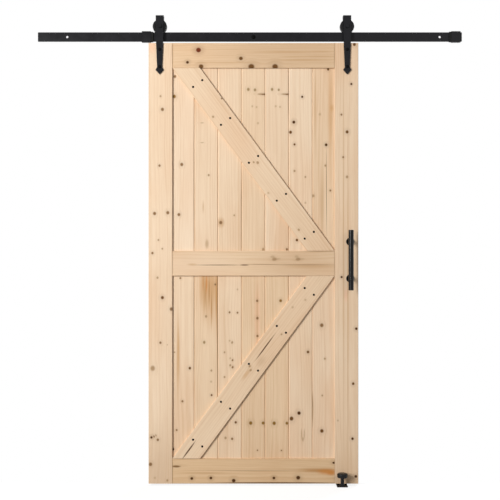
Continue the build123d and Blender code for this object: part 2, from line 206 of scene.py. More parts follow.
def panel(name, round_angle, up_angle, distance, width, height, watts):
    """A soft light that faces the middle of the slab."""
    lamp = bpy.data.objects.new(name, bpy.data.lights.new(name, "AREA"))
    lamp.data.shape = "RECTANGLE"
    lamp.data.size, lamp.data.size_y = width, height
    lamp.data.energy = watts
    away = Vector((sin(round_angle) * cos(up_angle), -cos(round_angle) * cos(up_angle), sin(up_angle)))
    lamp.location = slab_middle + away * distance
    lamp.rotation_euler = away.to_track_quat("Z", "Y").to_euler()
    bpy.context.collection.objects.link(lamp)
    return lamp


main_light = panel("main_light", round_angle=radians(-43), up_angle=radians(15), distance=6.0,
                   width=1.2, height=3.4, watts=373)
fill_light = panel("fill_light", round_angle=radians(30), up_angle=radians(22), distance=5.0,
                   width=2.4, height=2.4, watts=30)
back_light = panel("back_light", round_angle=radians(148), up_angle=radians(22), distance=6.0,
                   width=2.4, height=3.0, watts=240)
for lamp in (main_light, fill_light, back_light):
    print(lamp.name, lamp.data.energy, "W at", short(lamp.location, 2))

# %% [markdown]
# ## Pine: the grain
# The slab is planed, unfinished pine. A tree adds a pale layer in spring and a thin darker one in
# summer, and a plank cuts through these shells. So the grain is drawn in the solid: each point's
# distance from the pith, the heart of the trunk, is cut into rings. Faces then show long lines and
# ends show arcs, with no picture to stretch. Real rings are 2 to 4 mm apart, which the view
# can't show, so they are drawn 9 mm apart. The grain is a node group, because every plank uses it
# with its own place and tones.

# %% Rings of a pine plank
RING = 9 * MM
SWAY, WOBBLE = 60 * MM, 16 * MM
SUMMER_STARTS, SUMMER_PEAKS, WINTER_STARTS, YEAR_ENDS = 0.2, 0.85, 0.86, 1.0
NOISE_MIDDLE = 0.5


def group(name, takes, gives):
    """A new node group with named inputs and outputs, and the sockets of its inputs."""
    tree = bpy.data.node_groups.new(name, "ShaderNodeTree")
    for label, kind in takes.items():
        tree.interface.new_socket(label, in_out="INPUT", socket_type="NodeSocket" + kind)
    for label, kind in gives.items():
        tree.interface.new_socket(label, in_out="OUTPUT", socket_type="NodeSocket" + kind)
    return tree, add(tree, "NodeGroupInput").outputs


grain, given = group(
    "pine_grain",
    {"Place": "Vector", "Pith": "Vector", "Plank": "Vector",
     "Pale": "Color", "Dark": "Color", "Blush": "Color"},
    {"Color": "Color", "Roughness": "Float", "Height": "Float"},
)
spot = add(grain, "VectorMath", {0: given["Place"], 1: given["Plank"]}, operation="ADD").outputs[0]


def cloud(spots, detail):
    """Noise over the plank, with so many spots to a metre across, through and along it."""
    scaled = add(grain, "VectorMath", {0: spot, 1: spots}, operation="MULTIPLY").outputs[0]
    return add(grain, "TexNoise", {"Vector": scaled, "Scale": 1.0, "Detail": detail}).outputs[0]


sway = add(grain, "Math", {0: cloud(spots=(2.5, 2.5, 1.2), detail=1.0), 1: -NOISE_MIDDLE}).outputs[0]
wobble = add(grain, "Math", {0: cloud(spots=(40, 40, 3.0), detail=2.0), 1: -NOISE_MIDDLE}).outputs[0]
drift = add(grain, "Math", {0: sway, 1: SWAY}, operation="MULTIPLY").outputs[0]
drift = add(grain, "Math", {0: wobble, 1: WOBBLE, 2: drift}, operation="MULTIPLY_ADD").outputs[0]
drift = add(grain, "CombineXYZ", {"X": drift}).outputs[0]
outward = add(grain, "VectorMath", {0: given["Place"], 1: given["Pith"]}, operation="SUBTRACT").outputs[0]
outward = add(grain, "VectorMath", {0: outward, 1: drift}, operation="ADD").outputs[0]
outward = add(grain, "VectorMath", {0: outward, 1: (1, 1, 0)}, operation="MULTIPLY").outputs[0]
years = add(grain, "VectorMath", {0: outward}, operation="LENGTH").outputs["Value"]
years = add(grain, "Math", {0: years, 1: RING}, operation="DIVIDE").outputs[0]
year = add(grain, "Math", {0: years}, operation="FLOOR").outputs[0]
season = add(grain, "Math", {0: years}, operation="FRACT").outputs[0]
summer = add(grain, "MapRange", {"Value": season, "From Min": SUMMER_STARTS, "From Max": SUMMER_PEAKS},
             interpolation_type="SMOOTHSTEP").outputs[0]
winter = add(grain, "MapRange", {"Value": season, "From Min": YEAR_ENDS,
                                 "From Max": WINTER_STARTS}).outputs[0]
line = add(grain, "Math", {0: summer, 1: winter}, operation="MULTIPLY").outputs[0]
weather = add(grain, "TexWhiteNoise", {"W": year}, noise_dimensions="1D").outputs["Value"]
line = add(grain, "Math", {0: line, 1: weather}, operation="MULTIPLY").outputs[0]
print("a ring every", RING / MM, "mm")

# %% [markdown]
# Rings alone look printed. Planed pine also shows short fibres, tones that drift over a hand's
# breadth, and a rosy blush. Each is a noise pulled out along the plank. Rings, fibres and tones
# together say how far the colour goes from the pale tone to the dark one, and the blush is laid
# over it. The fibres are drawn 4 mm wide, coarser than real ones, so that they show.

# %% Fibres, tones and blush
FIBRE, FIBRE_STRETCH = 4 * MM, 0.035
LINE_DEPTH, FIBRE_DEPTH, TONE_DEPTH, DEPTH_START = 0.32, 0.50, 0.75, -0.40
BLUSH_STARTS, BLUSH_PEAKS, BLUSH_MOST = 0.45, 0.75, 0.4
SMOOTHEST, FIBRE_ROUGHNESS, FIBRE_RISE = 0.5, 0.2, 0.5
fibre = cloud(spots=(1 / FIBRE, 1 / FIBRE, FIBRE_STRETCH / FIBRE), detail=2.0)
tone = cloud(spots=(9, 9, 1.6), detail=2.0)
blush = cloud(spots=(6, 6, 2.2), detail=1.0)
depth = add(grain, "Math", {0: line, 1: LINE_DEPTH, 2: DEPTH_START}, operation="MULTIPLY_ADD").outputs[0]
depth = add(grain, "Math", {0: fibre, 1: FIBRE_DEPTH, 2: depth}, operation="MULTIPLY_ADD").outputs[0]
depth = add(grain, "Math", {0: tone, 1: TONE_DEPTH, 2: depth}, operation="MULTIPLY_ADD",
            use_clamp=True).outputs[0]
rosy = add(grain, "MapRange", {"Value": blush, "From Min": BLUSH_STARTS, "From Max": BLUSH_PEAKS,
                               "To Max": BLUSH_MOST}).outputs[0]
wood = add(grain, "Mix", {0: depth, 6: given["Pale"], 7: given["Dark"]}, data_type="RGBA").outputs[2]
wood = add(grain, "Mix", {0: rosy, 6: wood, 7: given["Blush"]}, data_type="RGBA",
           blend_type="MULTIPLY").outputs[2]
rough = add(grain, "Math", {0: fibre, 1: FIBRE_ROUGHNESS, 2: SMOOTHEST}, operation="MULTIPLY_ADD").outputs[0]
raised = add(grain, "Math", {0: fibre, 1: FIBRE_RISE, 2: line}, operation="MULTIPLY_ADD").outputs[0]
add(grain, "NodeGroupOutput", {"Color": wood, "Roughness": rough, "Height": raised})
print(len(grain.nodes), "nodes in the grain")

# %% [markdown]
# ## Pine: knots and streaks
# A knot is the foot of a branch: a dark round core that runs through the plank, with the grain
# swept round it. A streak, crack or resin patch is the same shape pulled out along the grain. So one
# group draws them all: an ellipse with a soft edge and a halo that pushes the rings aside.
# It passes the place on to the next one and paints over what came before, so the streaks of a plank
# are listed before its knots.

# %% One knot
HALO_REACH = 4.0
knot_group, given = group(
    "knot",
    {"Place": "Vector", "Ink": "Color", "Cover": "Float", "Centre": "Vector", "Reach": "Vector",
     "Tone": "Color", "Strength": "Float", "Edge": "Float", "Halo": "Float", "Sweep": "Float"},
    {"Place": "Vector", "Ink": "Color", "Cover": "Float"},
)
offset = add(knot_group, "VectorMath", {0: given["Place"], 1: given["Centre"]},
             operation="SUBTRACT").outputs[0]
scaled = add(knot_group, "VectorMath", {0: offset, 1: given["Reach"]}, operation="MULTIPLY").outputs[0]
away = add(knot_group, "VectorMath", {0: scaled}, operation="LENGTH").outputs["Value"]
inner = add(knot_group, "Math", {0: 1.0, 1: given["Edge"]}, operation="SUBTRACT").outputs[0]
outer = add(knot_group, "Math", {0: 1.0, 1: given["Edge"]}, operation="ADD").outputs[0]
core = add(knot_group, "MapRange", {"Value": away, "From Min": outer, "From Max": inner},
           interpolation_type="SMOOTHSTEP").outputs[0]
near = add(knot_group, "MapRange", {"Value": away, "From Min": HALO_REACH, "From Max": 1.0},
           interpolation_type="SMOOTHSTEP").outputs[0]
stain = add(knot_group, "Math", {0: near, 1: given["Halo"], 2: core}, operation="MULTIPLY_ADD").outputs[0]
stain = add(knot_group, "Math", {0: stain, 1: given["Strength"]}, operation="MULTIPLY",
            use_clamp=True).outputs[0]
bare = add(knot_group, "Math", {0: 1.0, 1: stain}, operation="SUBTRACT").outputs[0]
ink = add(knot_group, "Mix", {0: stain, 6: given["Ink"], 7: given["Tone"]}, data_type="RGBA").outputs[2]
cover = add(knot_group, "Math", {0: bare, 1: given["Cover"], 2: stain}, operation="MULTIPLY_ADD").outputs[0]
sweep = add(knot_group, "Math", {0: near, 1: given["Sweep"]}, operation="MULTIPLY").outputs[0]
push = add(knot_group, "VectorMath", {0: offset, "Scale": sweep}, operation="SCALE").outputs[0]
push = add(knot_group, "VectorMath", {0: push, 1: (1, 0, 0)}, operation="MULTIPLY").outputs[0]
place = add(knot_group, "VectorMath", {0: given["Place"], 1: push}, operation="SUBTRACT").outputs[0]
add(knot_group, "NodeGroupOutput", {"Place": place, "Ink": ink, "Cover": cover})
print(len(knot_group.nodes), "nodes in a knot")

# %% [markdown]
# ## Pine: a plank
# Sapwood is cream, heartwood is honey, and planks differ in how much of each they hold. A plank's
# grain runs along it, so its place is turned until its length is upright before the grain is
# drawn. Its knots are read from the photograph, as a pixel's column and row and a radius in
# pixels. A streak also has half its length.

# %% Planks
SAPWOOD, HEARTWOOD, SUMMER_SAP, SUMMER_HEART = "#f0dac0", "#d8b282", "#d8b693", "#b78a57"
BLUSH = "#f8e6d8"
MARKS = {  # colour, strength, edge, halo, sweep, length to width
    "dark": ("#4a2b0c", 1.00, 0.40, 0.14, 0.7, 1.05),
    "knot": ("#674420", 0.95, 0.40, 0.14, 0.7, 1.1),
    "red": ("#682c10", 1.00, 0.35, 0.20, 0.8, 1.05),
    "brown": ("#866543", 0.90, 0.45, 0.12, 0.6, 1.1),
    "olive": ("#84602a", 0.90, 0.45, 0.16, 0.6, 1.1),
    "moss": ("#91764c", 0.80, 0.50, 0.12, 0.5, 1.2),
    "faint": ("#a2825e", 0.80, 0.50, 0.10, 0.5, 1.15),
    "trace": ("#b79876", 0.65, 0.60, 0.06, 0.4, 1.15),
    "streak": ("#bd9468", 0.5, 0.85, 0.0, 0.0, 1.0),
    "honey": ("#c1915c", 0.5, 0.9, 0.0, 0.0, 1.0),
    "resin": ("#ad7a40", 0.75, 0.9, 0.0, 0.0, 1.0),
    "amber": ("#c27d38", 0.75, 0.7, 0.0, 0.0, 1.0),
    # Cracks, and one painted shade line along the slab's lower edge.
    "crack_and_edge_shade": ("#4a2c15", 0.95, 0.5, 0.0, 0.0, 1.0),
    "pink": ("#eab998", 0.6, 0.9, 0.0, 0.0, 1.0),
    "pale": ("#efd8bf", 0.30, 0.9, 0.0, 0.0, 1.0),
    "tan": ("#bc9a78", 0.40, 0.9, 0.0, 0.0, 1.0),
    # Painted shade: a fine dark line where shade falls in a thin gap, at joints, seams and fine cracks.
    "joint": ("#8c6c4a", 0.60, 0.5, 0.0, 0.0, 1.0),
}
PLANK_STEP = (3.1, 1.7, 5.3)
GRAIN_RELIEF, GRAIN_BUMP, WOOD_SPECULAR = 0.4 * MM, 0.25, 0.15
planks = {}


def between(first, second, share):
    """A linear colour part of the way from one hex code to another."""
    return [a + (b - a) * share for a, b in zip(linear(first), linear(second))]


def pine(piece, turn, heart, pith, marks):
    """Planed pine for one plank. The pith lies so many mm beside and behind its middle."""
    material = bpy.data.materials.new("planed_pine_" + piece)
    material.use_nodes = True
    tree = material.node_tree
    tree.nodes.clear()
    upright = Matrix.Rotation(turn, 3, "Y")
    low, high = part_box(piece)
    heart_of_tree = upright @ ((low + high) / 2) + Vector((pith[0], pith[1], 0)) * MM

    place = add(tree, "TexCoord").outputs["Object"]
    place = add(tree, "VectorRotate", {"Vector": place, "Angle": turn}, rotation_type="Y_AXIS").outputs[0]
    ink, cover = linear("#000000"), 0.0
    for kind, column, row, radius, *half_length in marks:
        colour, strength, edge, halo, sweep, ratio = MARKS[kind]
        x, z = from_photo(column, row)
        across = radius * PIXEL
        along = half_length[0] * PIXEL if half_length else across * ratio
        mark = add(tree, "Group", {
            "Place": place, "Ink": ink, "Cover": cover,
            "Centre": upright @ Vector((x, 0, z)), "Reach": (1 / across, 0, 1 / along),
            "Tone": linear(colour), "Strength": strength, "Edge": edge, "Halo": halo, "Sweep": sweep,
        }, node_tree=knot_group).outputs
        place, ink, cover = mark["Place"], mark["Ink"], mark["Cover"]

    plank = add(tree, "Group", {
        "Place": place, "Pith": heart_of_tree, "Plank": [step * len(planks) for step in PLANK_STEP],
        "Pale": between(SAPWOOD, HEARTWOOD, heart), "Dark": between(SUMMER_SAP, SUMMER_HEART, heart),
        "Blush": linear(BLUSH),
    }, node_tree=grain).outputs
    clear = add(tree, "Mix", {0: cover, 6: plank["Color"], 7: linear("#000000")}, data_type="RGBA").outputs[2]
    colour = add(tree, "Mix", {0: 1.0, 6: clear, 7: ink}, data_type="RGBA", blend_type="ADD").outputs[2]
    bump = add(tree, "Bump", {"Strength": GRAIN_BUMP, "Distance": GRAIN_RELIEF,
                              "Height": plank["Height"]}).outputs[0]
    skin = add(tree, "BsdfPrincipled", {"Base Color": colour, "Roughness": plank["Roughness"],
                                        "Normal": bump, "Specular IOR Level": WOOD_SPECULAR}).outputs[0]
    add(tree, "OutputMaterial", {"Surface": skin})
    nodes[piece].data.materials.clear()
    nodes[piece].data.materials.append(material)
    planks[piece] = len(marks)


print("sapwood to heartwood,", SAPWOOD, "to", HEARTWOOD)

# %% [markdown]
# ## The frame of the slab
# Two stiles run the whole height, and three rails stand between them. Frame timber is the
# straightest of the tree, cut some way from the pith, so its lines run long and nearly parallel.

# %% Stiles
UPRIGHT, LEVEL = 0.0, radians(-90)
pine("stile_left", UPRIGHT, 0.19, (-70, 60), [
    ("pink", 152.0, 46.0, 3.0, 6.0), ("tan", 160.0, 482.0, 14.0, 44.0), ("faint", 160.5, 96.2, 0.9),
    ("brown", 162.4, 109.4, 1.5), ("brown", 159.5, 165.6, 1.1), ("brown", 154.6, 213.5, 1.5),
    ("brown", 167.8, 212.7, 1.5), ("faint", 158.4, 240.0, 0.9), ("faint", 162.3, 248.7, 0.8),
    ("brown", 152.4, 253.1, 1.1), ("faint", 157.5, 277.7, 1.0), ("knot", 162.4, 297.6, 1.4),
    ("brown", 171.3, 309.1, 1.5), ("brown", 160.4, 342.7, 1.1), ("trace", 167.4, 344.8, 0.6),
    ("faint", 152.7, 368.3, 2.2), ("dark", 151.4, 437.4, 1.1), ("brown", 153.3, 436.5, 1.0),
    ("faint", 155.5, 435.4, 0.9), ("brown", 157.8, 439.8, 1.2), ("brown", 150.5, 464.3, 1.6),
    ("trace", 154.9, 477.9, 1.0), ("faint", 167.3, 480.4, 1.0),
])
pine("stile_right", UPRIGHT, 0.22, (55, 70), [
    ("honey", 347.0, 524.0, 16.0, 60.0), ("pink", 346.0, 295.0, 1.6, 6.0),
    ("streak", 343.5, 240.0, 0.7, 170.0), ("streak", 347.8, 300.0, 0.7, 140.0),
    ("knot", 354.4, 44.3, 1.5), ("dark", 351.3, 84.0, 1.0), ("brown", 341.4, 114.6, 0.9),
    ("knot", 347.1, 131.9, 1.4), ("brown", 343.2, 157.2, 0.9), ("faint", 347.1, 176.9, 1.2),
    ("dark", 341.6, 277.1, 1.0), ("dark", 356.3, 328.7, 1.2), ("knot", 353.2, 383.7, 1.2),
    ("trace", 337.9, 420.5, 0.8), ("dark", 352.5, 438.7, 1.2), ("dark", 355.8, 476.4, 1.3),
])
print("stiles carry", planks["stile_left"] + planks["stile_right"], "marks")

# %% [markdown]
# The rails lie level, so their place is turned by a quarter before the grain is drawn. Where a rail
# meets a stile the two faces are flush, and shade falls in the fine gap of the joint. A gap that thin
# could be cut, but it would be far under a pixel wide, so its shade is painted as a dark mark across
# the rail's end. Where a brace's end meets a rail, the same painted shade marks the gap.

# %% Rails
pine("rail_top", LEVEL, 0.53, (80, 45), [
    # Painted shade in the joints at both ends of the rail.
    ("joint", 172.6, 55.0, 14.0, 0.5), ("joint", 334.5, 55.0, 14.0, 0.5),
    ("tan", 285.0, 55.0, 18.0, 58.0), ("streak", 285.0, 52.0, 1.2, 28.0),
    ("streak", 305.0, 60.0, 0.9, 24.0), ("streak", 322.0, 51.5, 0.6, 11.0),
    ("streak", 295.0, 56.8, 0.5, 12.0), ("streak", 320.0, 56.5, 0.7, 14.0),
    ("streak", 222.0, 62.5, 0.7, 26.0), ("red", 198.5, 50.0, 2.2), ("dark", 187.5, 62.3, 1.3),
    ("knot", 201.1, 66.4, 2.0), ("knot", 240.9, 58.4, 1.7), ("knot", 251.3, 66.6, 2.6),
    ("knot", 275.1, 66.6, 2.5),
])
pine("rail_middle", LEVEL, 0.45, (40, 90), [
    # Painted shade in the joints at both ends, where the upper brace's end meets the rail, and in two fine
    # lines along it.
    ("joint", 172.6, 263.0, 14.0, 0.5), ("joint", 334.5, 263.0, 14.0, 0.4),
    ("pale", 194.0, 263.0, 12.0, 34.0), ("tan", 298.0, 263.0, 14.0, 36.0),
    ("joint", 319.5, 251.5, 0.4, 14.0), ("streak", 192.2, 264.5, 1.0, 4.0),
    ("crack_and_edge_shade", 218.5, 265.0, 0.3, 21.0), ("crack_and_edge_shade", 244.4, 265.0, 0.5, 4.0),
    ("streak", 312.0, 266.0, 2.0, 22.0), ("joint", 262.0, 264.4, 0.4, 16.0),
    ("joint", 302.0, 264.8, 0.4, 30.0), ("trace", 272.6, 256.8, 1.3, 2.0),
    ("trace", 277.2, 258.8, 0.7, 3.0), ("faint", 274.4, 258.8, 1.2, 2.2),
    ("trace", 296.6, 256.6, 1.3, 1.8), ("trace", 301.0, 258.9, 0.7, 3.2),
    ("faint", 298.0, 258.8, 1.2, 2.2),
])
pine("rail_bottom", LEVEL, 0.68, (60, 40), [
    # Painted shade in the joint at the rail's left end and where the lower brace's end meets it.
    ("joint", 172.6, 471.0, 14.0, 0.4), ("joint", 187.0, 458.9, 0.4, 15.0),
    # Painted shade: the long dark line along the slab's lower edge.
    ("crack_and_edge_shade", 275.0, 482.8, 0.5, 60.0), ("trace", 250.0, 470.5, 0.5, 45.0),
    ("resin", 317.0, 470.4, 1.8, 15.0), ("amber", 327.0, 471.6, 2.6, 8.0),
    ("amber", 331.5, 473.0, 2.2, 4.0), ("streak", 300.0, 469.3, 0.5, 34.0),
    ("streak", 270.0, 471.6, 0.5, 22.0), ("streak", 205.0, 473.0, 0.8, 24.0),
    ("brown", 176.2, 466.4, 1.0, 4.0), ("dark", 191.8, 478.5, 1.3), ("dark", 210.9, 478.0, 1.3),
    ("dark", 233.7, 480.6, 1.7), ("dark", 273.9, 478.0, 1.3), ("dark", 298.2, 477.7, 1.8),
    ("dark", 334.0, 462.8, 1.0, 1.6),
])
print("rails carry", sum(planks[p] for p in planks if p.startswith("rail")), "marks")

# %% [markdown]
# ## The boards
# Seven tongue-and-groove boards fill each half. They are cut from smaller trees, so they hold more
# knots, and the pith lies closer behind them, which bends the lines into long arches.

# %% Upper boards
# The dark line at a board's edge is painted shade in the seam beside the next board.
pine("board_upper_1", UPRIGHT, 0.04, (25, 35), [
    ("joint", 193.9, 185.0, 0.5, 70.0), ("brown", 174.7, 76.1, 1.4), ("olive", 174.1, 96.1, 1.6),
    ("brown", 181.6, 164.3, 1.5), ("brown", 178.7, 214.5, 1.4),
])
pine("board_upper_2", UPRIGHT, 0.20, (-20, 40), [
    ("trace", 202.0, 122.6, 1.8, 0.6), ("trace", 202.0, 142.4, 1.8, 0.6), ("faint", 208.6, 175.0, 1.0),
    ("streak", 203.1, 206.8, 0.8, 5.0), ("trace", 206.8, 243.9, 1.6, 4.0),
])
pine("board_upper_3", UPRIGHT, 0.23, (70, 50), [
    ("joint", 241.4, 215.0, 0.5, 36.0), ("faint", 234.2, 215.3, 0.8), ("honey", 220.7, 222.5, 2.8, 4.0),
    ("brown", 220.7, 222.5, 1.5),
])
pine("board_upper_4", UPRIGHT, 0.34, (30, 60), [
    ("moss", 248.3, 89.1, 1.3), ("moss", 255.0, 89.6, 1.2), ("faint", 261.0, 93.8, 3.2, 0.6),
    ("brown", 262.8, 94.0, 1.6, 0.8), ("trace", 252.3, 106.0, 0.9), ("trace", 256.6, 106.8, 0.9),
    ("trace", 258.0, 122.9, 1.0), ("faint", 263.2, 249.3, 1.2),
])
pine("board_upper_5", UPRIGHT, 0.20, (30, 60), [
    ("joint", 288.4, 92.0, 0.4, 26.0), ("moss", 272.1, 89.1, 1.2), ("moss", 278.8, 89.5, 1.0),
    ("faint", 284.6, 93.8, 3.2, 0.6), ("brown", 286.6, 94.0, 1.6, 0.8), ("trace", 275.8, 105.9, 0.9),
    ("trace", 280.1, 106.6, 0.9), ("brown", 287.0, 249.3, 1.1),
])
pine("board_upper_6", UPRIGHT, 0.18, (-35, 45), [
    ("dark", 302.3, 96.5, 1.0), ("dark", 293.9, 121.9, 1.4), ("knot", 290.6, 132.0, 1.4),
    ("knot", 294.6, 144.2, 1.0), ("faint", 294.6, 170.8, 1.0), ("faint", 305.5, 176.8, 0.8),
    ("trace", 305.5, 202.7, 0.9), ("knot", 297.0, 240.0, 1.2),
])
pine("board_upper_7", UPRIGHT, 0.35, (20, 40), [
    ("honey", 330.5, 112.0, 2.2, 36.0), ("streak", 322.0, 203.0, 1.8, 26.0),
    ("streak", 315.4, 106.0, 0.8, 34.0), ("crack_and_edge_shade", 326.6, 190.0, 0.2, 38.0), ("knot", 328.3, 69.0, 1.1),
    ("trace", 320.0, 114.0, 1.1), ("honey", 332.0, 107.7, 1.5, 3.0), ("dark", 326.3, 144.6, 1.3),
    ("faint", 325.6, 165.4, 1.0), ("brown", 330.5, 190.4, 0.9), ("faint", 313.4, 195.7, 1.2),
])
print("upper boards carry", sum(planks[p] for p in planks if "board_upper" in p), "marks")

# %% [markdown]
# The lower boards are of the same stock, and some knots come again from board to board. The second
# one holds a patch of resin, made of honey and amber streaks of unlike lengths laid over each other,
# because one big mark would look like a stain.

# %% Lower boards
# The dark line at a board's edge is painted shade in the seam beside the next board.
pine("board_lower_1", UPRIGHT, 0.22, (25, 45), [
    ("joint", 193.9, 318.0, 0.5, 60.0), ("honey", 177.8, 356.0, 1.4, 42.0),
    ("honey", 178.4, 352.0, 1.0, 20.0), ("brown", 180.2, 278.2, 0.9), ("faint", 174.4, 352.5, 0.7),
    ("knot", 189.7, 368.4, 1.2), ("brown", 182.3, 401.6, 1.0), ("brown", 176.5, 430.4, 0.9),
    ("dark", 172.8, 449.6, 1.3),
])
pine("board_lower_2", UPRIGHT, 0.37, (10, 30), [
    ("joint", 217.4, 330.0, 0.5, 70.0), ("honey", 202.8, 287.0, 3.0, 17.0),
    ("resin", 205.2, 292.0, 0.6, 10.0), ("amber", 203.0, 282.0, 0.5, 8.0),
    ("honey", 209.5, 293.0, 5.5, 24.0), ("honey", 212.5, 286.0, 3.0, 12.0),
    ("streak", 204.2, 290.0, 1.0, 18.0), ("resin", 209.0, 290.0, 0.7, 13.0),
    ("streak", 206.4, 300.0, 0.6, 14.0), ("resin", 211.5, 309.0, 0.6, 14.0),
    ("resin", 216.4, 300.0, 0.7, 28.0), ("honey", 216.2, 291.0, 1.2, 16.0),
    ("amber", 206.6, 283.0, 0.8, 9.0), ("brown", 215.3, 284.5, 0.9), ("faint", 206.0, 316.5, 1.1),
    ("moss", 204.1, 342.5, 1.2), ("faint", 211.3, 370.8, 0.9), ("trace", 211.1, 381.9, 0.9),
    ("knot", 211.5, 395.4, 0.9),
])
pine("board_lower_3", UPRIGHT, 0.22, (-30, 50), [
    ("trace", 237.4, 289.5, 0.8), ("brown", 229.5, 312.5, 0.9), ("brown", 237.5, 312.8, 0.9),
    ("trace", 229.6, 340.9, 0.8), ("faint", 232.0, 342.6, 1.1), ("faint", 224.5, 352.5, 0.8),
    ("trace", 230.2, 358.4, 0.8), ("brown", 232.4, 360.4, 0.9), ("faint", 230.2, 365.5, 0.9),
    ("brown", 232.4, 367.4, 1.1), ("faint", 224.5, 377.3, 0.9), ("knot", 235.7, 422.7, 1.1),
    ("faint", 225.5, 438.3, 1.1), ("brown", 232.1, 439.2, 1.1),
])
pine("board_lower_4", UPRIGHT, 0.45, (15, 40), [
    ("pink", 257.4, 320.0, 2.0, 28.0), ("streak", 257.3, 318.0, 0.9, 34.0), ("brown", 257.2, 300.9, 1.1),
    ("brown", 257.4, 318.3, 1.2), ("brown", 257.5, 336.2, 1.1), ("olive", 250.7, 423.4, 1.6),
    ("olive", 263.2, 423.4, 1.4), ("brown", 257.5, 450.7, 0.7),
])
pine("board_lower_5", UPRIGHT, 0.48, (15, 40), [
    ("olive", 280.7, 300.8, 1.3), ("olive", 274.2, 423.6, 1.6), ("olive", 287.0, 423.6, 1.3),
    ("brown", 281.5, 450.9, 0.7),
])
pine("board_lower_6", UPRIGHT, 0.21, (-40, 40), [
    ("knot", 308.1, 352.2, 1.2), ("dark", 299.1, 413.4, 1.6), ("knot", 291.6, 418.9, 1.8),
    ("trace", 301.6, 434.5, 0.6, 5.0), ("trace", 304.4, 434.5, 0.6, 5.0),
    ("faint", 303.0, 439.6, 0.7, 2.2),
])
pine("board_lower_7", UPRIGHT, 0.13, (30, 45), [
    ("brown", 321.9, 325.4, 1.7), ("faint", 325.0, 358.9, 0.9), ("faint", 322.4, 395.8, 0.8),
    ("knot", 322.0, 431.3, 1.6), ("faint", 312.5, 409.0, 0.9, 16.0),
])
print("lower boards carry", sum(planks[p] for p in planks if "board_lower" in p), "marks")

# %% [markdown]
# ## The braces
# Two braces run corner to corner on top of the boards and keep the slab square. Their grain follows
# their slope, so their place is turned by that angle before the grain is drawn.

# %% Braces
BRACE_SLOPE = 53.65
BRACE_LEAN = radians(90 - BRACE_SLOPE)
pine("brace_upper", BRACE_LEAN, 0.28, (60, 50), [
    ("faint", 213.1, 116.8, 1.0), ("brown", 221.8, 98.5, 0.8), ("faint", 253.7, 162.2, 0.9),
    ("faint", 257.7, 162.6, 1.3), ("trace", 268.4, 193.0, 1.0), ("faint", 298.8, 229.8, 1.0),
])
pine("brace_lower", -BRACE_LEAN, 0.30, (-60, 50), [
    ("trace", 305.4, 299.9, 1.0), ("trace", 292.7, 307.3, 1.0), ("faint", 281.6, 334.3, 0.8),
    ("faint", 249.7, 366.2, 1.0), ("tan", 261.5, 361.5, 3.0, 5.0), ("honey", 246.5, 374.0, 1.6, 6.0),
    ("faint", 250.6, 370.1, 1.1), ("crack_and_edge_shade", 265.2, 347.2, 0.6, 14.0), ("crack_and_edge_shade", 188.8, 450.2, 0.7, 10.0),
])
print(sum(planks.values()), "marks on", len(planks), "planks")

# %% [markdown]
# ## The black finishes
# The ironwork is steel with a black powder coat: sprayed as dust and baked, which leaves a satin
# skin with a fine orange-peel ripple. The handle has a smoother baked enamel, with a highlight down
# its bar. The wheels and the roller are moulded nylon with a soft sheen, and the stops' pads are matt
# rubber. Bolts and screws are dipped in hot phosphate, which leaves a matt black crust. All five are
# near black, so their look lies in gloss and ripple. A ripple of 1.5 mm shows only in close views.

# %% Powder coat, enamel, nylon, rubber and phosphate
TONE_PATCH, RIPPLE_HEIGHT, GLOSS_DRIFT = 30 * MM, 0.2 * MM, 0.06
NOISE_LOW, NOISE_HIGH = 0.3, 0.7


def black(name, deep, worn, ripple, roughness, depth, specular):
    """A black finish that drifts between two tones, with a ripple of so many mm."""
    material = bpy.data.materials.new(name)
    material.use_nodes = True
    tree = material.node_tree
    tree.nodes.clear()
    place = add(tree, "TexCoord").outputs["Object"]
    drift = add(tree, "TexNoise", {"Vector": place, "Scale": 1 / TONE_PATCH, "Detail": 3.0}).outputs[0]
    grit = add(tree, "TexNoise", {"Vector": place, "Scale": 1 / (ripple * MM), "Detail": 1.0}).outputs[0]
    tint = add(tree, "Mix", {0: drift, 6: linear(deep), 7: linear(worn)}, data_type="RGBA").outputs[2]
    gloss = add(tree, "MapRange", {"Value": drift, "From Min": NOISE_LOW, "From Max": NOISE_HIGH,
                                   "To Min": roughness - GLOSS_DRIFT,
                                   "To Max": roughness + GLOSS_DRIFT}).outputs[0]
    bump = add(tree, "Bump", {"Strength": depth, "Distance": RIPPLE_HEIGHT, "Height": grit}).outputs[0]
    skin = add(tree, "BsdfPrincipled", {"Base Color": tint, "Roughness": gloss, "Normal": bump,
                                        "Specular IOR Level": specular}).outputs[0]
    add(tree, "OutputMaterial", {"Surface": skin})
    return material


powder_coat = black("black_powder_coat_on_steel", "#121214", "#1c1c1f",
                    ripple=1.5, roughness=0.36, depth=0.25, specular=0.12)
nylon = black("moulded_black_nylon", "#0c0c0d", "#151516",
              ripple=2.5, roughness=0.34, depth=0.10, specular=0.18)
enamel = black("baked_black_enamel_on_steel", "#070606", "#0d0c0b",
               ripple=3.0, roughness=0.16, depth=0.03, specular=0.2)
rubber = black("matt_black_rubber", "#0d0d0d", "#191918",
               ripple=1.0, roughness=0.75, depth=0.35, specular=0.2)
phosphate = black("black_phosphate_on_steel", "#080808", "#101010",
                  ripple=1.2, roughness=0.62, depth=0.15, specular=0.05)
finishes = {"handle": enamel, "wheel": nylon, "guide_roller": nylon, "bumper": rubber}
for name, node in nodes.items():
    if name not in planks:
        finish = next((f for start, f in finishes.items() if name.startswith(start)), powder_coat)
        node.data.materials.clear()
        node.data.materials.append(finish)
print(len(nodes) - len(planks), "pieces in black")

# %% [markdown]
# ## Bolts and screws
# Every fastener here is turned or pressed on one axis, so each is a stack of outlines: round for
# washers and heads, six-sided for nuts and sockets, a cross for a driver's recess. Outlines with
# the same number of corners join into one closed skin, which a plain cylinder can't give.

